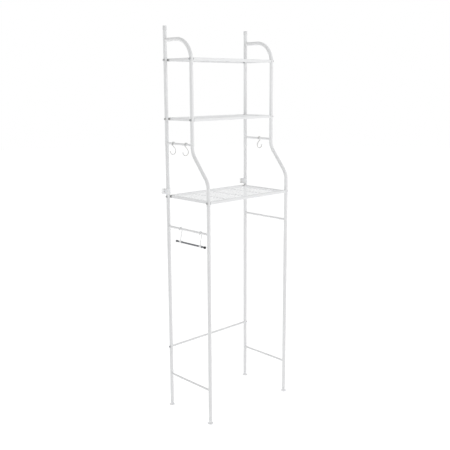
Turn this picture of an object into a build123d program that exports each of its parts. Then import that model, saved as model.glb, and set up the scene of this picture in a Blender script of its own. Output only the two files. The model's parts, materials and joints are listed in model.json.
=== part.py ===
from build123d import *
import math
import os

# Over-the-toilet storage rack: two ladder-like tube side frames that carry three
# wire shelves, a rear stretcher, wall clips, S-hooks and a hanging paper-roll bar.
# Millimetres. +Z is up, -Y is the front, +X is the right as seen from the front.
# The origin is on the floor, at the middle of the rack's footprint.

# ---- Side frames ----
post_spacing = 480.0         # left post axis to right post axis
lower_depth = 262.0          # rear leg axis to front leg axis
upper_depth = 166.0          # rear post axis to front post axis above the S-bend
post_d = 16.0
post_wall = 1.0
rung_d = 10.0
rung_wall = 0.8
arch_radius = 88.0           # centreline radius of the bend at the top
s_bend_radius = 70.0         # centreline radius of both turns of the S-bend
s_bend_height = 120.0        # between the corners of the S-bend

# ---- Heights, each from the one before it ----
lower_rung_height = 154.0
stretcher_height = 285.0
bottom_shelf_height = 978.0  # middle of the lowest shelf's rails
mid_rung_below_shelf = 132.0
leg_joint_below_shelf = 8.0
clip_above_shelf = 24.0
bend_above_shelf = 55.0      # start of the S-bend above the lowest shelf
rung_above_bend = 9.0
middle_shelf_above_rung = 103.0
top_shelf_above_middle = 246.0
arch_above_top_shelf = 82.0
post_above_arch = 58.0

# ---- Leg joints, caps and feet ----
spigot_length = 45.0
spigot_clearance = 0.1       # radial
swage_length = 2.0
swage_inset = 0.4            # radial, of the groove where a post meets its leg
cap_wall = 0.75
cap_height = 18.0
cap_top = 3.0
cap_clearance = 0.03         # radial
foot_d = 27.0
foot_rim = 3.0
foot_neck_d = 12.0
foot_cone_top = 12.0
foot_height = 15.7
foot_seat_gap = 0.3
plug_flange = 4.0
plug_length = 20.0
stud_d = 8.0
stud_clearance = 0.06        # radial
stud_length = 40.0
stud_embed = 9.0

# ---- Shelves ----
rail_height = 12.0
rail_width = 10.0
rail_wall = 1.0
rail_corner = 1.5            # outside
rail_inner_corner = 0.5
rail_gap = 0.2               # between a rail's end or side and the post beside it
wire_d = 3.0
wire_pitch = 19.0
wire_below_top = 1.5         # top of the wires below the top of the rails
cross_wire_count = 3
lug_width = 11.0
lug_height = 10.4
lug_front = 16.0             # reach of a rear corner lug in front of its bolt
lug_back = 6.0
insert_length = 14.0

# ---- Bolts ----
bolt_d = 6.0
bolt_hole_clearance = 0.2    # radial, in the posts
bolt_thread_clearance = 0.05 # radial, in lugs and inserts
bolt_reach = 11.0            # past the inner side of the post
bolt_head_d = 11.0
bolt_head_height = 3.6
bolt_socket_d = 4.6
bolt_socket_depth = 1.8

# ---- Wall clips ----
wall_gap = 14.0              # rear post axis to the wall
clip_width = 48.0
clip_height = 24.0
clip_thickness = 2.5
clip_clearance = 0.15        # radial, around the post
clip_hole_spacing = 36.0
clip_hole_d = 4.5
clip_sink_d = 8.0
clip_corner = 4.0

# ---- S-hooks ----
hook_wire_d = 4.0
hook_upper_radius = 8.0      # centreline
hook_lower_radius = 15.0     # centreline
hook_spacing = 30.0          # between the centres of the two loops
hook_upper_end = -12.0       # angle of the free end of the upper loop
hook_lower_end = -168.0      # angle of the tip of the lower loop
hang_gap = 0.3               # between a hanging wire and the rung it hangs on
left_hook_setbacks = (43.5, 126.0)   # in front of the rear post axis
right_hook_setback = 91.5

# ---- Paper-roll holder ----
bar_d = 8.0
bar_clearance = 0.08         # radial, in the hanger sleeves
bar_drop = 58.5              # below the mid rung
bar_rear_gap = 43.0          # from the rear leg to the end cap
bar_front_gap = 11.5         # from the front leg to the ball
hanger_wire_d = 3.5
hanger_radius = 8.0          # centreline, of the loop over the rung
hanger_inset = 31.5          # of each sleeve from its end of the bar
hanger_free_end = 215.0      # angle of the short end over the rung
sleeve_d = 12.0
sleeve_length = 12.0
ball_d = 12.0
ball_flat = 1.2              # of the ball's inner face
end_cap_d = 10.4
end_cap_length = 7.0
cap_socket = 4.0             # depth that the bar enters its end pieces

# ---- Soft edges, each as a share of a size of its own piece ----
cap_rounding = 0.5           # of the cap's top
foot_edge = 0.33             # of the foot's rim
stud_chamfer = 0.1           # of the stud's diameter
lug_rounding = 0.43          # of the lug's height
bolt_crown = 0.67            # of the bolt head's diameter
bolt_rounding = 0.33         # of the bolt head's height
bolt_chamfer = 0.08          # of the bolt's diameter
end_cap_rounding = 0.17      # of the end cap's diameter

# ---- Places worked out from the values above ----
side_x = post_spacing / 2
rear_y = (lower_depth + foot_d / 2 - wall_gap) / 2
front_y = rear_y - lower_depth
upper_front_y = rear_y - upper_depth
post_r = post_d / 2

s_turn = math.atan2(lower_depth - upper_depth, s_bend_height)
s_tangent = s_bend_radius * math.tan(s_turn / 2)
leg_joint_z = bottom_shelf_height - leg_joint_below_shelf
lower_corner_z = bottom_shelf_height + bend_above_shelf + s_tangent
upper_corner_z = lower_corner_z + s_bend_height
upper_rung_z = upper_corner_z + s_tangent + rung_above_bend
middle_shelf_z = upper_rung_z + middle_shelf_above_rung
top_shelf_z = middle_shelf_z + top_shelf_above_middle
arch_z = top_shelf_z + arch_above_top_shelf
top_z = arch_z + post_above_arch
post_top_z = top_z - cap_top
mid_rung_z = bottom_shelf_height - mid_rung_below_shelf
clip_z = bottom_shelf_height + clip_above_shelf
leg_bottom_z = foot_height + foot_seat_gap + plug_flange
bolt_hole_r = bolt_d / 2 + bolt_hole_clearance
thread_r = bolt_d / 2 + bolt_thread_clearance
inner_side = post_r + rail_gap          # from a post axis to the shelf beside it

SHELVES = {
    "top_shelf": (top_shelf_z, upper_front_y),
    "middle_shelf": (middle_shelf_z, upper_front_y),
    "bottom_shelf": (bottom_shelf_height, front_y),
}
SIDES = {"left": -1, "right": 1}
CORNERS = {
    "rear_left": (-side_x, rear_y),
    "rear_right": (side_x, rear_y),
    "front_left": (-side_x, front_y),
    "front_right": (side_x, front_y),
}


def save(shape, name):
    export_step(shape, "parts/" + name + ".step")


def upright(radius, z_low, z_high):
    """Solid cylinder on the Z axis between two heights."""
    return Pos(0, 0, z_low) * Cylinder(
        radius, z_high - z_low, align=(Align.CENTER, Align.CENTER, Align.MIN)
    )


def along_x(radius, x_low, x_high):
    """Solid cylinder on the X axis between two places."""
    return Rot(0, 90, 0) * upright(radius, x_low, x_high)


def along_y(radius, y_low, y_high):
    """Solid cylinder on the Y axis between two places."""
    return Rot(-90, 0, 0) * upright(radius, y_low, y_high)


def block(x_low, x_high, y_low, y_high, z_low, z_high):
    size = (x_high - x_low, y_high - y_low, z_high - z_low)
    return Pos(x_low, y_low, z_low) * Box(*size, align=(Align.MIN, Align.MIN, Align.MIN))


def cross_bore(radius, z):
    """Cutter for a hole right through a post, along X."""
    return Pos(0, 0, z) * along_x(radius, -post_d, post_d)


# ---- Side frames ----
def leg(holes):
    tube = upright(post_r, leg_bottom_z, leg_joint_z)
    tube -= upright(post_r - post_wall, leg_bottom_z, leg_joint_z)
    for z in holes:
        tube -= cross_bore(bolt_hole_r, z)
    return tube


def spigot():
    """Swaged lower end of an upper post, which plugs into the leg below."""
    outer = post_r - post_wall - spigot_clearance
    low = leg_joint_z - spigot_length
    top = leg_joint_z + swage_length
    neck = upright(outer, low, leg_joint_z) + upright(post_r - swage_inset, leg_joint_z, top)
    return neck - upright(outer - post_wall, low, top)


def rear_post():
    low = leg_joint_z + swage_length
    tube = upright(post_r, low, post_top_z) - upright(post_r - post_wall, low, post_top_z)
    tube += spigot()
    for z, _ in SHELVES.values():
        tube -= cross_bore(bolt_hole_r, z)
    return tube


def front_post():
    """Bent tube: up from the front leg, back through the S-bend, over to the rear post."""
    start = leg_joint_z + swage_length
    corners = [
        (0, front_y, start),
        (0, front_y, lower_corner_z),
        (0, upper_front_y, upper_corner_z),
        (0, upper_front_y, arch_z),
        (0, rear_y, arch_z),
    ]
    path = FilletPolyline(*corners, radius=[s_bend_radius, s_bend_radius, arch_radius])
    section = Plane(origin=corners[0], x_dir=(1, 0, 0), z_dir=(0, 0, 1))
    tube = sweep(section * Circle(post_r), path=path)
    tube -= sweep(section * Circle(post_r - post_wall), path=path)
    tube -= Pos(0, rear_y, 0) * upright(post_r, arch_z - post_d, arch_z + post_d)
    tube += Pos(0, front_y, 0) * spigot()
    for z, shelf_front_y in SHELVES.values():
        tube -= Pos(0, shelf_front_y, 0) * cross_bore(bolt_hole_r, z)
    return tube


def rung(near_y, z):
    """Cross tube from the rear post to the front one, its ends coped to their round sides."""
    tube = along_y(rung_d / 2, near_y, rear_y) - along_y(rung_d / 2 - rung_wall, near_y, rear_y)
    for y in (near_y, rear_y):
        tube -= Pos(0, y, 0) * upright(post_r, -post_d, post_d)
    return Pos(0, 0, z) * tube


def post_cap():
    skirt_r = post_r + cap_clearance + cap_wall
    cap = upright(skirt_r, top_z - cap_height, top_z)
    cap = fillet(cap.edges().group_by(Axis.Z)[-1], radius=cap_top * cap_rounding)
    return cap - upright(post_r + cap_clearance, top_z - cap_height, post_top_z)


def side_frames():
    rungs = {
        "upper_rung": (upper_front_y, upper_rung_z),
        "mid_rung": (front_y, mid_rung_z),
        "lower_rung": (front_y, lower_rung_height),
    }
    for side, sign in SIDES.items():
        place = Pos(sign * side_x, 0, 0)
        save(place * Pos(0, rear_y, 0) * leg([stretcher_height]), side + "_rear_leg")
        save(place * Pos(0, front_y, 0) * leg([]), side + "_front_leg")
        save(place * Pos(0, rear_y, 0) * rear_post(), side + "_rear_post")
        save(place * front_post(), side + "_front_post")
        save(place * Pos(0, rear_y, 0) * post_cap(), side + "_post_cap")
        for name, (near_y, z) in rungs.items():
            save(place * rung(near_y, z), side + "_" + name)


# ---- Feet ----
def foot_plug():
    """Plastic plug in the lower end of a leg, bored for the foot's stud."""
    plug = upright(post_r - post_wall, leg_bottom_z, leg_bottom_z + plug_length)
    plug += upright(post_r, leg_bottom_z - plug_flange, leg_bottom_z)
    return plug - upright(stud_d / 2 + stud_clearance, 0, leg_bottom_z + plug_length)


def foot_base():
    """Flared foot with a flat underside, a conical flank and a neck for the stud."""
    edge = foot_rim * foot_edge
    profile = Polyline(
        (0, 0),
        (foot_d / 2 - edge, 0),
        (foot_d / 2, edge),
        (foot_d / 2, foot_rim - edge),
        (foot_d / 2 - edge, foot_rim),
        (foot_neck_d / 2, foot_cone_top),
        (foot_neck_d / 2, foot_height),
        (0, foot_height),
        close=True,
    )
    body = revolve(Plane.XZ * make_face(profile), axis=Axis.Z)
    return body - upright(stud_d / 2, foot_height - stud_embed, foot_height)


def foot_stud():
    low = foot_height - stud_embed
    stud = upright(stud_d / 2, low, low + stud_length)
    return chamfer(stud.edges().group_by(Axis.Z)[-1], length=stud_d * stud_chamfer)


def feet():
    save(Compound([Pos(x, y, 0) * foot_plug() for x, y in CORNERS.values()]), "foot_plugs")
    for corner, (x, y) in CORNERS.items():
        save(Pos(x, y, 0) * foot_base(), corner + "_foot_base")
        save(Pos(x, y, 0) * foot_stud(), corner + "_foot_stud")


# ---- Rear stretcher ----
def coped(shape):
    """Cut what lies inside the two rear legs away from a shape along X."""
    for sign in SIDES.values():
        shape -= Pos(sign * side_x, 0, 0) * upright(post_r, -post_d, post_d)
    return shape


def stretcher():
    bore_r = rung_d / 2 - rung_wall
    place = Pos(0, rear_y, stretcher_height)
    tube = along_x(rung_d / 2, -side_x, side_x) - along_x(bore_r, -side_x, side_x)
    save(place * coped(tube), "rear_stretcher")
    inserts = []
    for sign in SIDES.values():
        ends = sorted((sign * side_x, sign * (side_x - post_r - insert_length)))
        inserts.append(place * coped(along_x(bore_r, *ends) - along_x(thread_r, *ends)))
    save(Compound(inserts), "stretcher_inserts")


# ---- Shelves ----
def rail_bore():
    """Section of the space inside a rail."""
    return RectangleRounded(rail_width - 2 * rail_wall, rail_height - 2 * rail_wall, rail_inner_corner)


def rail(length, across):
    """Rectangular tube with rounded corners, centred on a plane that it stands square to."""
    section = RectangleRounded(rail_width, rail_height, rail_corner) - rail_bore()
    return extrude(across * section, amount=length / 2, both=True)


def shelf(name, z, near_y):
    lug_inner = side_x - inner_side - lug_width
    rail_x = side_x - inner_side - rail_width / 2
    rail_low_y = near_y + rail_width / 2
    rail_high_y = rear_y - lug_front
    save(Pos(0, near_y, z) * rail(2 * (side_x - inner_side), Plane.YZ), name + "_front_rail")
    save(Pos(0, rear_y, z) * rail(2 * lug_inner, Plane.YZ), name + "_rear_rail")
    for side, sign in SIDES.items():
        place = Pos(sign * rail_x, (rail_low_y + rail_high_y) / 2, z)
        save(place * rail(rail_high_y - rail_low_y, Plane.XZ), name + "_" + side + "_rail")

    wire_end_x = rail_x - rail_width / 2
    wire_z = z + rail_height / 2 - wire_below_top - wire_d / 2
    wire_high_y = rear_y - rail_width / 2
    spaces = round((wire_high_y - rail_low_y) / wire_pitch)
    wires = []
    for i in range(1, spaces):
        y = rail_low_y + (wire_high_y - rail_low_y) * i / spaces
        wires.append(Pos(0, y, wire_z) * along_x(wire_d / 2, -wire_end_x, wire_end_x))
    save(Compound(wires), name + "_wires")

    cross_wires = []
    for i in range(cross_wire_count):
        x = wire_end_x * (2 * (i + 1) / (cross_wire_count + 1) - 1)
        cross_wires.append(Pos(x, 0, wire_z - wire_d) * along_y(wire_d / 2, rail_low_y, wire_high_y))
    save(Compound(cross_wires), name + "_cross_wires")


def rear_lug(sign, z):
    """Steel block between a rear post and the shelf's corner, tapped for the bolt."""
    x_ends = sorted((sign * (side_x - inner_side), sign * (side_x - inner_side - lug_width)))
    lug = block(*x_ends, rear_y - lug_front, rear_y + lug_back, z - lug_height / 2, z + lug_height / 2)
    back_edges = lug.edges().filter_by(Axis.X).group_by(Axis.Y)[-1]
    lug = fillet(back_edges, radius=lug_height * lug_rounding)
    return lug - Pos(0, rear_y, z) * along_x(thread_r, *x_ends)


def rail_insert(sign, z, near_y):
    """Tapped plug in the end of a shelf's front rail."""
    x_ends = sorted((sign * (side_x - inner_side), sign * (side_x - inner_side - insert_length)))
    plug = Pos(x_ends[0], 0, 0) * extrude(Plane.YZ * rail_bore(), amount=insert_length)
    return Pos(0, near_y, z) * (plug - along_x(thread_r, *x_ends))


def shelves():
    lugs = []
    inserts = []
    for name, (z, near_y) in SHELVES.items():
        shelf(name, z, near_y)
        for sign in SIDES.values():
            lugs.append(rear_lug(sign, z))
            inserts.append(rail_insert(sign, z, near_y))
    save(Compound(lugs), "rear_corner_lugs")
    save(Compound(inserts), "front_rail_inserts")


# ---- Bolts ----
def bolt():
    """Button-head bolt along +X, its head's flat underside at the origin."""
    head_r = bolt_head_d / 2
    dome = Rot(0, -90, 0) * Cone(
        head_r, head_r * bolt_crown, bolt_head_height, align=(Align.CENTER, Align.CENTER, Align.MIN)
    )
    dome = fillet(dome.edges().group_by(Axis.X)[0], radius=bolt_head_height * bolt_rounding)
    socket = extrude(RegularPolygon(bolt_socket_d / 2, 6), amount=bolt_socket_depth)
    dome -= Pos(-bolt_head_height, 0, 0) * (Rot(0, 90, 0) * socket)
    shank = along_x(bolt_d / 2, 0, post_d + bolt_reach)
    shank = chamfer(shank.edges().group_by(Axis.X)[-1], length=bolt_d * bolt_chamfer)
    return dome + shank


def bolts():
    places = []
    for z, near_y in SHELVES.values():
        places += [(rear_y, z), (near_y, z)]
    places.append((rear_y, stretcher_height))
    solids = []
    for y, z in places:
        left = Pos(-side_x - post_r, y, z) * bolt()
        solids += [left, left.mirror(Plane.YZ)]
    save(Compound(solids), "frame_bolts")


# ---- Wall clips ----
def wall_clip():
    """Saddle round the front of a post, with a screw ear flat on the wall at each side."""
    inner = post_r + clip_clearance
    outer = inner + clip_thickness
    ears = Pos(0, wall_gap - clip_thickness / 2) * Rectangle(clip_width, clip_thickness)
    saddle = Circle(outer) + Pos(0, wall_gap / 2) * Rectangle(2 * outer, wall_gap)
    hollow = Circle(inner) + Pos(0, wall_gap / 2) * Rectangle(2 * inner, wall_gap)
    clip = extrude(ears + saddle - hollow, amount=clip_height / 2, both=True)
    front_view = RectangleRounded(clip_width, clip_height, clip_corner)
    clip &= extrude(Plane.XZ * front_view, amount=2 * wall_gap, both=True)
    for sign in SIDES.values():
        hole = along_y(clip_hole_d / 2, 0, wall_gap)
        sink = Pos(0, wall_gap - clip_thickness, 0) * Rot(-90, 0, 0) * Cone(
            clip_sink_d / 2, clip_hole_d / 2, clip_thickness / 2,
            align=(Align.CENTER, Align.CENTER, Align.MIN),
        )
        clip -= Pos(sign * clip_hole_spacing / 2, 0, 0) * (hole + sink)
    return clip


def wall_clips():
    for side, sign in SIDES.items():
        save(Pos(sign * side_x, rear_y, clip_z) * wall_clip(), side + "_wall_clip")


# ---- S-hooks and paper-roll holder ----
def bent_wire(path, radius):
    """Round wire along a flat path in the XZ plane, with rounded ends."""
    path = Plane.XZ * path
    section = Plane(origin=path @ 0, z_dir=path % 0)
    wire = sweep(section * Circle(radius), path=path)
    for end in (0, 1):
        wire += Pos(*(path @ end)) * Sphere(radius)
    return wire


def hang_turn(shape):
    """Degrees about +Y that bring a shape's middle of mass under the Y axis."""
    middle = shape.center(CenterOf.MASS)
    return math.degrees(math.atan2(middle.X, -middle.Z))


def s_hook():
    """S-hook on a rung whose axis is the Y axis, hanging at rest, its tip towards -X."""
    centre_z = rung_d / 2 + hang_gap - (hook_upper_radius - hook_wire_d / 2)
    rise = (hook_upper_radius + hook_lower_radius) / hook_spacing
    slope = math.degrees(math.asin(rise))
    upper_centre = (0, centre_z)
    lower_centre = (0, centre_z - hook_spacing)
    upper = CenterArc(upper_centre, hook_upper_radius, hook_upper_end, 180 + slope - hook_upper_end)
    lower = CenterArc(lower_centre, hook_lower_radius, slope, hook_lower_end - slope)
    shank = Line(upper @ 1, lower @ 0)
    hook = bent_wire(Wire([upper, shank, lower]), hook_wire_d / 2)
    return Rot(0, hang_turn(hook), 0) * hook


def s_hooks():
    left = Pos(-side_x, rear_y, upper_rung_z) * s_hook()
    rear_setback, front_setback = left_hook_setbacks
    save(Pos(0, -rear_setback, 0) * left, "left_rear_s_hook")
    save(Pos(0, -front_setback, 0) * left, "left_front_s_hook")
    save(Pos(0, -right_hook_setback, 0) * left.mirror(Plane.YZ), "right_s_hook")


def hanger():
    """Wire hook over a rung on the Y axis, with a sleeve welded across its foot."""
    centre_z = rung_d / 2 + hang_gap - (hanger_radius - hanger_wire_d / 2)
    target_r = (sleeve_d / 2 + bar_d / 2) / 2
    target = (-target_r / math.sqrt(2), target_r / math.sqrt(2) - bar_drop)
    drop = target[1] - centre_z
    reach = math.hypot(target[0], drop)
    end = math.degrees(math.atan2(drop, target[0]) + math.acos(hanger_radius / reach))
    over = CenterArc((0, centre_z), hanger_radius, hanger_free_end, end - hanger_free_end)
    hook = bent_wire(Wire([over, Line(over @ 1, target)]), hanger_wire_d / 2)
    hook += Pos(0, 0, -bar_drop) * along_y(sleeve_d / 2, -sleeve_length / 2, sleeve_length / 2)
    bore_r = bar_d / 2 + bar_clearance
    return hook - Pos(0, 0, -bar_drop) * along_y(bore_r, -sleeve_length, sleeve_length)


def roll_holder():
    low_y = front_y + post_r + bar_front_gap
    high_y = rear_y - post_r - bar_rear_gap
    bar_low = low_y + ball_d - ball_flat - cap_socket
    bar_high = high_y - end_cap_length + cap_socket
    ball_y = low_y + ball_d / 2
    flat_y = low_y + ball_d - ball_flat
    bar = Pos(0, 0, -bar_drop) * along_y(bar_d / 2, bar_low, bar_high)
    ball = Pos(0, ball_y, -bar_drop) * Sphere(ball_d / 2)
    ball -= Pos(0, 0, -bar_drop) * along_y(ball_d, flat_y, flat_y + ball_d)
    end_cap = along_y(end_cap_d / 2, high_y - end_cap_length, high_y)
    end_cap = fillet(end_cap.edges().group_by(Axis.Y)[-1], radius=end_cap_d * end_cap_rounding)
    end_cap = Pos(0, 0, -bar_drop) * end_cap
    pieces = {
        "roller_bar": bar,
        "roller_ball": ball - bar,
        "roller_end_cap": end_cap - bar,
        "front_roll_hanger": Pos(0, low_y + hanger_inset, 0) * hanger(),
        "rear_roll_hanger": Pos(0, high_y - hanger_inset, 0) * hanger(),
    }
    turn = hang_turn(Compound(list(pieces.values())))
    for name, shape in pieces.items():
        save(Pos(-side_x, 0, mid_rung_z) * Rot(0, turn, 0) * shape, name)


os.makedirs("parts", exist_ok=True)
side_frames()
feet()
stretcher()
shelves()
bolts()
wall_clips()
s_hooks()
roll_holder()
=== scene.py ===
import json
import math

import bpy
import numpy as np
from mathutils import Matrix, Vector


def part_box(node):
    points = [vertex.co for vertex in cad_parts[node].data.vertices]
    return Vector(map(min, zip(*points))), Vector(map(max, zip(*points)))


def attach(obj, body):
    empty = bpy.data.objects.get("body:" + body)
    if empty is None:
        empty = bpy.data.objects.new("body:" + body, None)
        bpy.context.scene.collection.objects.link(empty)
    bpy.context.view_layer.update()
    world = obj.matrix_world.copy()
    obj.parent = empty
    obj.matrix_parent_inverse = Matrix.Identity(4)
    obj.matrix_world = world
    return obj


# Looks for an over-the-toilet storage rack. Metres, in the CAD frame: +Z up, -Y the front,
# +X the right as seen from the front.

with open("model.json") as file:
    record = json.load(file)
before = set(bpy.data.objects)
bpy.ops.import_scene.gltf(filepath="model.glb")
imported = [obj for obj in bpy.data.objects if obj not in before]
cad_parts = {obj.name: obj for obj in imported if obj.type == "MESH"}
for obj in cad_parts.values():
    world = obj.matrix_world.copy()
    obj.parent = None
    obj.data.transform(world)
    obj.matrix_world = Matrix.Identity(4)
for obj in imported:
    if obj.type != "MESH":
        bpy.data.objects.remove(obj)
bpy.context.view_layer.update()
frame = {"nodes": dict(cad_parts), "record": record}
nodes = frame["nodes"]

# ---- Camera, at the photograph's viewing angle ----
CAMERA_PLACE = (-2.1352, -2.2143, 1.4538)
CAMERA_YAW = 43.670          # degrees from +Y towards +X
CAMERA_DOWN = 11.367         # degrees below the horizon
CAMERA_ROLL = -0.269         # degrees
CAMERA_LENS = 55.525         # mm
CAMERA_SENSOR = 36.0         # mm

CAMERA_REACH = 60.0          # far clip, past the floor's edge

# ---- Floor and sky ----
FLOOR_RADIUS = 14.0
FLOOR_SIDES = 96
FLOOR_GAP = 0.0002           # below the feet, so that the two faces don't flicker
FLOOR_COLOUR = (0.95, 0.95, 0.95)
FLOOR_GLOW = 0.42            # keeps the paper white out to its edge
BACKDROP = 1.0               # how bright the sky looks
SKY_AHEAD = 0.76             # light from behind the object, and from above and beside it
SKY_BEHIND = 0.34            # light from behind the camera

# ---- Lamps: places from one point, disc sizes in metres, powers in watts ----
AIM_POINT = Vector((0, 0, 0.9))  # near the object's middle
KEY_LEFT = 2.6               # to the left of the camera's view
KEY_TOWARD_CAMERA = 1.2
KEY_UP = 1.9
KEY_SIZE = 2.2
KEY_POWER = 6
TOP_UP = 3.0
TOP_SIZE = 2.6
TOP_POWER = 4
FRONT_OFFSET = Vector((0.3, -1.45, 0.9))
FRONT_AIM = Vector((0, 0, 0.4))
FRONT_SIZE = 0.9
FRONT_POWER = 6

# ---- Welds ----
RUNG_BEAD = 0.0009           # radius of a bead round a rung's or an arch's end
RAIL_BEAD = 0.0007           # round a side rail's end
WIRE_BEAD = 0.0005           # round a wire's end
SPOT_BEAD = 0.0004           # round a spot weld
SPOT_SPREAD = 0.55           # a spot weld's radius, as a share of the wire's
BEAD_LEAN = 0.8              # how far its first side leans along the tube or wire inside it
BEAD_RIPPLE = 0.16           # share of a bead's radius
BEAD_SIDES = 8
CORNER_POWER = 6             # squareness of a bead round a rail's end
SOLID_GAP = 0.006            # wider than a wire is thick, narrower than the gap between two

# ---- Paint ----
PAINT_GLOSS = {"Coat_Weight": 0.12, "Coat_Roughness": 0.25}
RUB_CORE = 0.0009            # from a rubbed band's middle to where it starts to fade
RUB_EDGE = 0.0034            # from its middle to where it has faded out
DUST = (0.46, 0.45, 0.43)
WORN = (0.60, 0.60, 0.60)
MILKY_DEPTH = 0.004          # how far light travels in milky plastic
MILKY_SPREAD = (1.0, 0.95, 0.85)


# ================================================================ places
def middle(node):
    low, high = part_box(node)
    return (low + high) / 2


def stations(node, axis):
    """Middle, along one axis, of each separate solid of a node."""
    values = np.unique(np.round([v.co[axis] for v in nodes[node].data.vertices], 5))
    groups = np.split(values, np.flatnonzero(np.diff(values) > SOLID_GAP) + 1)
    return [(g[0] + g[-1]) / 2 for g in groups]


SHELVES = ("top_shelf", "middle_shelf", "bottom_shelf")
SIDES = ("left", "right")
RUNGS = ("upper_rung", "mid_rung", "lower_rung")
post_r = (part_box("left_rear_leg")[1].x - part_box("left_rear_leg")[0].x) / 2
rung_r = (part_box("left_mid_rung")[1].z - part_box("left_mid_rung")[0].z) / 2
rear_y = middle("left_rear_leg").y
front_y = middle("left_front_leg").y
upper_front_y = middle("top_shelf_front_rail").y


# ================================================================ node helpers
class Shader:
    """One Principled material and the texture nodes that feed it."""

    def __init__(self, name, colour, metallic=0.0, roughness=0.5, **sockets):
        self.material = bpy.data.materials.new(name)
        self.material.use_nodes = True
        self.tree = self.material.node_tree
        self.bsdf = self.tree.nodes["Principled BSDF"]
        self.bsdf.inputs["Base Color"].default_value = (*colour, 1)
        self.bsdf.inputs["Metallic"].default_value = metallic
        self.bsdf.inputs["Roughness"].default_value = roughness
        for socket, value in sockets.items():
            self.bsdf.inputs[socket.replace("_", " ")].default_value = value
        self.material.diffuse_color = (*colour, 1)
        self.place = self.new("ShaderNodeTexCoord").outputs["Object"]
        self.bump = None

    def new(self, kind, **settings):
        node = self.tree.nodes.new(kind)
        for key, value in settings.items():
            setattr(node, key, value)
        return node

    def link(self, source, target):
        self.tree.links.new(source, target)

    def stretched(self, scale):
        """Texture place with its own scale along each axis."""
        mapping = self.new("ShaderNodeMapping")
        mapping.inputs["Scale"].default_value = scale
        self.link(self.place, mapping.inputs["Vector"])
        return mapping.outputs["Vector"]

    def noise(self, scale, detail=2.0, rough=0.5, place=None):
        node = self.new("ShaderNodeTexNoise")
        node.inputs["Scale"].default_value = scale
        node.inputs["Detail"].default_value = detail
        node.inputs["Roughness"].default_value = rough
        self.link(place or self.place, node.inputs["Vector"])
        return node.outputs["Fac"]

    def cells(self, scale):
        node = self.new("ShaderNodeTexVoronoi", feature="F1")
        node.inputs["Scale"].default_value = scale
        self.link(self.place, node.inputs["Vector"])
        return node.outputs["Distance"]

    def map(self, value, low_in, high_in, low_out, high_out):
        node = self.new("ShaderNodeMapRange")
        self.link(value, node.inputs["Value"])
        ends = zip(("From Min", "From Max", "To Min", "To Max"), (low_in, high_in, low_out, high_out))
        for socket, end in ends:
            node.inputs[socket].default_value = end
        return node.outputs["Result"]

    def mix(self, share, first, second):
        """Mixes two colours, each a socket or three numbers, by a socket."""
        node = self.new("ShaderNodeMix", data_type="RGBA", blend_type="MIX")
        self.link(share, node.inputs["Factor"])
        first_input, second_input = node.inputs[6], node.inputs[7]  # the colour pair, A and B
        for socket, colour in ((first_input, first), (second_input, second)):
            if isinstance(colour, tuple):
                socket.default_value = (*colour, 1)
            else:
                self.link(colour, socket)
        return node.outputs[2]  # the colour result

    def math(self, operation, first, second):
        node = self.new("ShaderNodeMath", operation=operation)
        for socket, value in zip(node.inputs, (first, second)):
            if isinstance(value, (int, float)):
                socket.default_value = value
            else:
                self.link(value, socket)
        return node.outputs[0]

    def colour(self, value):
        self.link(value, self.bsdf.inputs["Base Color"])

    def rough(self, value):
        self.link(value, self.bsdf.inputs["Roughness"])

    def raise_by(self, height, distance):
        """Adds bump: the height times the distance in metres, on top of any before it."""
        node = self.new("ShaderNodeBump")
        node.inputs["Strength"].default_value = 1.0
        node.inputs["Distance"].default_value = distance
        self.link(height, node.inputs["Height"])
        if self.bump:
            self.link(self.bump, node.inputs["Normal"])
        self.bump = node.outputs["Normal"]
        self.link(self.bump, self.bsdf.inputs["Normal"])


def tint(colour, factor):
    return tuple(min(1.0, c * factor) for c in colour)


# ================================================================ materials
def powder_coat(name, colour, peel=900.0, rub_places=()):
    """Baked powder coat: orange peel, soft tone changes, a few dust specks, and rubbed bands."""
    s = Shader(name, colour, roughness=0.42, **PAINT_GLOSS)
    drift = s.noise(7.0, detail=4.0)
    fine = s.noise(240.0, detail=3.0, rough=0.6)
    tone = s.mix(s.map(drift, 0.35, 0.65, 0.0, 1.0), tint(colour, 0.972), colour)
    tone = s.mix(s.map(fine, 0.3, 0.7, 0.0, 0.35), tone, tint(colour, 0.985))
    specks = s.map(s.noise(1500.0, detail=1.0), 0.735, 0.78, 0.0, 0.5)
    tone = s.mix(specks, tone, DUST)
    gloss = s.map(fine, 0.3, 0.7, 0.36, 0.48)
    if rub_places:
        along = s.new("ShaderNodeSeparateXYZ")
        s.link(s.place, along.inputs["Vector"])
        rubbed = None
        for y in rub_places:
            away = s.math("ABSOLUTE", s.math("SUBTRACT", along.outputs["Y"], y), 0.0)
            band = s.map(away, RUB_CORE, RUB_EDGE, 1.0, 0.0)
            rubbed = s.math("MAXIMUM", rubbed, band) if rubbed else band
        rubbed = s.math("MULTIPLY", rubbed, s.map(s.noise(650.0, detail=3.0), 0.35, 0.62, 0.15, 1.0))
        tone = s.mix(rubbed, tone, WORN)
        gloss = s.math("SUBTRACT", gloss, s.math("MULTIPLY", rubbed, 0.14))
    s.colour(tone)
    s.rough(gloss)
    s.raise_by(s.noise(peel, detail=1.5), 0.00006)
    s.raise_by(s.noise(120.0, detail=2.0), 0.00012)
    return s.material


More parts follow.
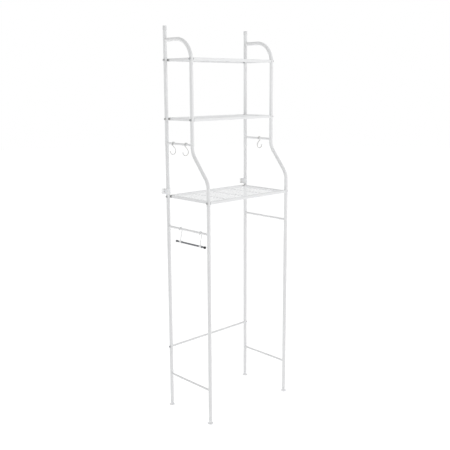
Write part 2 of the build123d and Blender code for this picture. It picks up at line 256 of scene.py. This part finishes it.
def zinc(name, colour, scale=(300.0, 300.0, 300.0), metallic=0.9):
    """Plated steel: crystal blotches, a faint straw tint, and fine marks stretched by the scale."""
    s = Shader(name, colour, metallic=metallic, roughness=0.4)
    blotch = s.cells(420.0)
    tone = s.mix(s.map(blotch, 0.1, 0.7, 0.0, 1.0), tint(colour, 0.86), tint(colour, 1.1))
    straw = (colour[0] * 1.06, colour[1], colour[2] * 0.86)
    tone = s.mix(s.map(s.noise(130.0, detail=3.0), 0.45, 0.7, 0.0, 0.6), tone, straw)
    s.colour(tone)
    s.rough(s.map(s.noise(700.0, detail=3.0), 0.3, 0.7, 0.3, 0.52))
    s.raise_by(s.noise(6.0, detail=2.0, place=s.stretched(scale)), 0.00005)
    return s.material


def turned_bar(name, colour):
    """Dark satin bar: fine rings from turning, with lengthwise smears."""
    s = Shader(name, colour, metallic=0.85, roughness=0.34)
    rings = s.noise(1.0, detail=3.0, rough=0.7, place=s.stretched((30.0, 5200.0, 30.0)))
    smear = s.noise(1.0, detail=3.0, place=s.stretched((260.0, 22.0, 260.0)))
    tone = s.mix(s.map(rings, 0.3, 0.7, 0.0, 1.0), tint(colour, 0.82), tint(colour, 1.18))
    tone = s.mix(s.map(smear, 0.48, 0.72, 0.0, 0.5), tone, tint(colour, 1.3))
    s.colour(tone)
    s.rough(s.map(smear, 0.35, 0.7, 0.27, 0.46))
    s.raise_by(rings, 0.00003)
    return s.material


def moulded(name, colour, roughness=0.4, milky=0.0, grain=1400.0):
    """Moulded plastic: fine spark grain, flow marks, and for a milky one some light inside."""
    s = Shader(name, colour, roughness=roughness)
    if milky:
        s.bsdf.inputs["Subsurface Weight"].default_value = milky
        s.bsdf.inputs["Subsurface Scale"].default_value = MILKY_DEPTH
        s.bsdf.inputs["Subsurface Radius"].default_value = MILKY_SPREAD
    flow = s.noise(1.0, detail=4.0, place=s.stretched((60.0, 60.0, 25.0)))
    tone = s.mix(s.map(flow, 0.35, 0.65, 0.0, 1.0), tint(colour, 0.955), tint(colour, 1.02))
    specks = s.map(s.noise(1700.0, detail=1.0), 0.72, 0.78, 0.0, 0.35)
    tone = s.mix(specks, tone, tint(colour, 0.6))
    s.colour(tone)
    s.rough(s.map(s.noise(480.0, detail=3.0), 0.3, 0.7, roughness - 0.07, roughness + 0.09))
    s.raise_by(s.noise(grain, detail=2.0), 0.00003)
    return s.material


def weld_paint(name, colour):
    """Powder coat over a weld bead: glossier, with pinholes and greyer patches."""
    s = Shader(name, colour, roughness=0.38, **PAINT_GLOSS)
    pits = s.cells(1300.0)
    tone = s.mix(s.map(pits, 0.0, 0.16, 0.75, 0.0), colour, tint(colour, 0.55))
    tone = s.mix(s.map(s.noise(420.0, detail=3.0), 0.5, 0.75, 0.0, 0.5), tone, tint(colour, 0.88))
    s.colour(tone)
    s.rough(s.map(s.noise(500.0), 0.3, 0.7, 0.3, 0.46))
    s.raise_by(s.noise(800.0, detail=2.0), 0.00012)
    return s.material


WHITE = (0.83, 0.835, 0.84)
hook_places = [middle(n).y for n in ("left_rear_s_hook", "left_front_s_hook")]
right_hook_place = [middle("right_s_hook").y]
hanger_places = [middle(n).y for n in ("front_roll_hanger", "rear_roll_hanger")]
MATERIALS = {
    "frame_paint": powder_coat("frame_paint", WHITE),
    "shelf_paint": powder_coat("shelf_paint", WHITE, peel=1100.0),
    "coated_wire": powder_coat("coated_wire", (0.84, 0.845, 0.85), peel=1300.0),
    "bolt_steel": zinc("bolt_steel", (0.52, 0.53, 0.55)),
    "lug_steel": zinc("lug_steel", (0.50, 0.505, 0.515), scale=(40.0, 900.0, 900.0), metallic=0.35),
    "plated_wire": zinc("plated_wire", (0.66, 0.665, 0.675), scale=(90.0, 90.0, 90.0), metallic=0.45),
    "roller_steel": turned_bar("roller_steel", (0.21, 0.215, 0.23)),
    "black_plastic": moulded("black_plastic", (0.022, 0.022, 0.025), roughness=0.3),
    "cap_plastic": moulded("cap_plastic", (0.78, 0.785, 0.79), roughness=0.42),
    "foot_plastic": moulded("foot_plastic", (0.90, 0.905, 0.91), roughness=0.36, milky=0.12),
    "clip_plastic": moulded("clip_plastic", (0.90, 0.905, 0.91), roughness=0.33, milky=0.12),
}
RUBBED = {
    "left_upper_rung": powder_coat("left_upper_rung_paint", WHITE, rub_places=hook_places),
    "right_upper_rung": powder_coat("right_upper_rung_paint", WHITE, rub_places=right_hook_place),
    "left_mid_rung": powder_coat("left_mid_rung_paint", WHITE, rub_places=hanger_places),
}
WELD_PAINT = weld_paint("weld_paint", WHITE)


def paint_cad_nodes():
    for part in frame["record"]["subparts"]:
        node = nodes[part["node"]]
        material = RUBBED.get(part["node"], MATERIALS[part["material_slot"]])
        node.data.materials.clear()
        node.data.materials.append(material)


# ================================================================ weld beads
class Beads:
    """Collects swept beads and turns them into one smooth mesh."""

    def __init__(self):
        self.points = []
        self.faces = []

    def loop(self, path, radius, normals):
        """Closed bead along a path; each normal is where the bead's first side faces."""
        path = [Vector(p) for p in path]
        first = len(self.points)
        count = len(path)
        for i, point in enumerate(path):
            along = (path[(i + 1) % count] - path[i - 1]).normalized()
            out = Vector(normals[i])
            out = (out - along * out.dot(along)).normalized()
            side = along.cross(out)
            ripple = 1 + BEAD_RIPPLE * math.sin(i * 2.4) * math.cos(i * 0.9 + first)
            for k in range(BEAD_SIDES):
                turn = 2 * math.pi * k / BEAD_SIDES
                offset = out * math.cos(turn) + side * math.sin(turn)
                self.points.append(point + offset * radius * ripple)
        for i in range(count):
            for k in range(BEAD_SIDES):
                a, b = i * BEAD_SIDES, (i + 1) % count * BEAD_SIDES
                n = (k + 1) % BEAD_SIDES
                self.faces.append([first + v for v in (a + k, b + k, b + n, a + n)])

    def object(self, name, material):
        mesh = bpy.data.meshes.new(name)
        mesh.from_pydata(self.points, [], self.faces)
        mesh.polygons.foreach_set("use_smooth", [True] * len(mesh.polygons))
        mesh.materials.append(material)
        piece = bpy.data.objects.new(name, mesh)
        bpy.context.scene.collection.objects.link(piece)
        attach(piece, "frame")
        return piece


def saddle(beads, x, y, z, tube_r, around_r, facing, radius, steps=48):
    """Bead where a tube along Y meets an upright post at (x, y); facing is +1 or -1 along Y."""
    path, normals = [], []
    for i in range(steps):
        turn = 2 * math.pi * (i + 0.5) / steps
        side, up = tube_r * math.cos(turn), tube_r * math.sin(turn)
        depth = math.sqrt(max(0.0, around_r**2 - side**2))
        path.append((x + side, y + facing * depth, z + up))
        normals.append((math.cos(turn), facing * BEAD_LEAN, math.sin(turn)))
    beads.loop(path, radius, normals)


def rung_welds():
    beads = Beads()
    for side in SIDES:
        x = middle(f"{side}_rear_leg").x
        for rung in RUNGS:
            low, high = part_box(f"{side}_{rung}")
            near_y = upper_front_y if rung == "upper_rung" else front_y
            z = (low.z + high.z) / 2
            saddle(beads, x, rear_y, z, rung_r, post_r, -1, RUNG_BEAD)
            saddle(beads, x, near_y, z, rung_r, post_r, 1, RUNG_BEAD)
        arch_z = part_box(f"{side}_front_post")[1].z - post_r
        saddle(beads, x, rear_y, arch_z, post_r, post_r, -1, RUNG_BEAD, steps=72)
    return beads.object("rung_welds", WELD_PAINT)


def ring(beads, centre, facing, inner, radius, steps=16):
    """Bead round a wire along X, on the face that the wire meets."""
    path, normals = [], []
    for i in range(steps):
        turn = 2 * math.pi * i / steps
        across, up = math.cos(turn), math.sin(turn)
        path.append((centre[0], centre[1] + inner * across, centre[2] + inner * up))
        normals.append((facing * BEAD_LEAN, across, up))
    beads.loop(path, radius, normals)


def shelf_welds(shelf):
    """Beads at the wires' ends and at the front corners, and spot welds at the crossings."""
    beads = Beads()
    low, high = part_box(f"{shelf}_wires")
    wire_r = (high.z - low.z) / 2
    wire_z = (low.z + high.z) / 2
    for y in stations(f"{shelf}_wires", 1):
        ring(beads, (low.x, y, wire_z), 1, wire_r, WIRE_BEAD)
        ring(beads, (high.x, y, wire_z), -1, wire_r, WIRE_BEAD)
        for x in stations(f"{shelf}_cross_wires", 0):
            spot(beads, (x, y, low.z), wire_r)
    for side in SIDES:
        corner(beads, shelf, side)
    return beads.object(f"{shelf}_welds", WELD_PAINT)


def spot(beads, centre, wire_r, steps=12):
    """Squashed nugget between two crossed wires."""
    reach = wire_r * SPOT_SPREAD
    path, normals = [], []
    for i in range(steps):
        turn = 2 * math.pi * i / steps
        across, along = math.cos(turn), math.sin(turn)
        path.append((centre[0] + reach * across, centre[1] + reach * along, centre[2]))
        normals.append((across, along, 0))
    beads.loop(path, SPOT_BEAD, normals)


def corner(beads, shelf, side, steps=56):
    """Bead round the end of a side rail, on the inner face of the front rail."""
    low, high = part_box(f"{shelf}_{side}_rail")
    y = low.y
    x_mid, z_mid = (low.x + high.x) / 2, (low.z + high.z) / 2
    half_x, half_z = (high.x - low.x) / 2, (high.z - low.z) / 2
    path, normals = [], []
    for i in range(steps):
        turn = 2 * math.pi * (i + 0.5) / steps
        across, up = math.cos(turn), math.sin(turn)
        reach = (abs(across) ** CORNER_POWER + abs(up) ** CORNER_POWER) ** (-1 / CORNER_POWER)
        path.append((x_mid + half_x * across * reach, y, z_mid + half_z * up * reach))
        normals.append((across, BEAD_LEAN, up))
    beads.loop(path, RAIL_BEAD, normals)


# ================================================================ stage
def floor():
    mesh = bpy.data.meshes.new("floor")
    turns = [2 * math.pi * i / FLOOR_SIDES for i in range(FLOOR_SIDES)]
    rim = [(FLOOR_RADIUS * math.cos(t), FLOOR_RADIUS * math.sin(t), -FLOOR_GAP) for t in turns]
    mesh.from_pydata(rim, [], [list(range(FLOOR_SIDES))])
    disc = bpy.data.objects.new("floor", mesh)
    bpy.context.scene.collection.objects.link(disc)
    s = Shader("floor_paper", FLOOR_COLOUR, roughness=0.9)
    s.bsdf.inputs["Emission Color"].default_value = (1, 1, 1, 1)
    s.bsdf.inputs["Emission Strength"].default_value = FLOOR_GLOW
    s.colour(s.mix(s.noise(3.0, detail=3.0), tint(FLOOR_COLOUR, 0.995), FLOOR_COLOUR))
    mesh.materials.append(s.material)


def area_light(name, place, target, size, power):
    light = bpy.data.lights.new(name, "AREA")
    light.shape = "DISK"
    light.size = size
    light.energy = power
    lamp = bpy.data.objects.new(name, light)
    lamp.location = place
    lamp.rotation_euler = (Vector(target) - Vector(place)).to_track_quat("-Z", "Y").to_euler()
    bpy.context.scene.collection.objects.link(lamp)


def sky(forward):
    """White studio backdrop that gives less light from the side the photograph was taken from."""
    world = bpy.data.worlds.new("studio")
    bpy.context.scene.world = world
    world.use_nodes = True
    tree = world.node_tree
    background = tree.nodes["Background"]
    background.inputs["Color"].default_value = (1, 1, 1, 1)
    place = tree.nodes.new("ShaderNodeTexCoord")
    ahead = tree.nodes.new("ShaderNodeVectorMath")
    ahead.operation = "DOT_PRODUCT"
    tree.links.new(place.outputs["Generated"], ahead.inputs[0])
    ahead.inputs[1].default_value = Vector((forward.x, forward.y, 0)).normalized()
    strength = tree.nodes.new("ShaderNodeMapRange")
    tree.links.new(ahead.outputs["Value"], strength.inputs["Value"])
    straight_behind, beside = -1.0, 0.0
    strength.inputs["From Min"].default_value = straight_behind
    strength.inputs["From Max"].default_value = beside
    strength.inputs["To Min"].default_value = SKY_BEHIND
    strength.inputs["To Max"].default_value = SKY_AHEAD
    seen = tree.nodes.new("ShaderNodeLightPath")
    shown = tree.nodes.new("ShaderNodeMix")
    tree.links.new(seen.outputs["Is Camera Ray"], shown.inputs["Factor"])
    tree.links.new(strength.outputs["Result"], shown.inputs["A"])
    shown.inputs["B"].default_value = BACKDROP
    tree.links.new(shown.outputs["Result"], background.inputs["Strength"])


def camera():
    yaw, down, roll = (math.radians(a) for a in (CAMERA_YAW, CAMERA_DOWN, CAMERA_ROLL))
    forward = Vector((math.sin(yaw) * math.cos(down), math.cos(yaw) * math.cos(down), -math.sin(down)))
    level = Vector((math.cos(yaw), -math.sin(yaw), 0))
    upward = level.cross(forward)
    right = level * math.cos(roll) + upward * math.sin(roll)
    up = upward * math.cos(roll) - level * math.sin(roll)
    data = bpy.data.cameras.new("camera")
    data.lens = CAMERA_LENS
    data.sensor_width = CAMERA_SENSOR
    data.clip_end = CAMERA_REACH
    eye = bpy.data.objects.new("camera", data)
    turn = Matrix((right, up, -forward)).transposed().to_4x4()
    eye.matrix_world = Matrix.Translation(CAMERA_PLACE) @ turn
    bpy.context.scene.collection.objects.link(eye)
    bpy.context.scene.camera = eye
    return forward, right


def studio():
    forward, right = camera()
    sky(forward)
    floor()
    toward_camera = -Vector((forward.x, forward.y, 0)).normalized()
    key_offset = -right * KEY_LEFT + toward_camera * KEY_TOWARD_CAMERA + Vector((0, 0, KEY_UP))
    area_light("key", AIM_POINT + key_offset, AIM_POINT, KEY_SIZE, KEY_POWER)
    area_light("top", AIM_POINT + Vector((0, 0, TOP_UP)), AIM_POINT, TOP_SIZE, TOP_POWER)
    area_light("front", AIM_POINT + FRONT_OFFSET, AIM_POINT + FRONT_AIM, FRONT_SIZE, FRONT_POWER)
    bpy.context.scene.view_settings.view_transform = "Standard"


paint_cad_nodes()
rung_welds()
for shelf in SHELVES:
    shelf_welds(shelf)
studio()
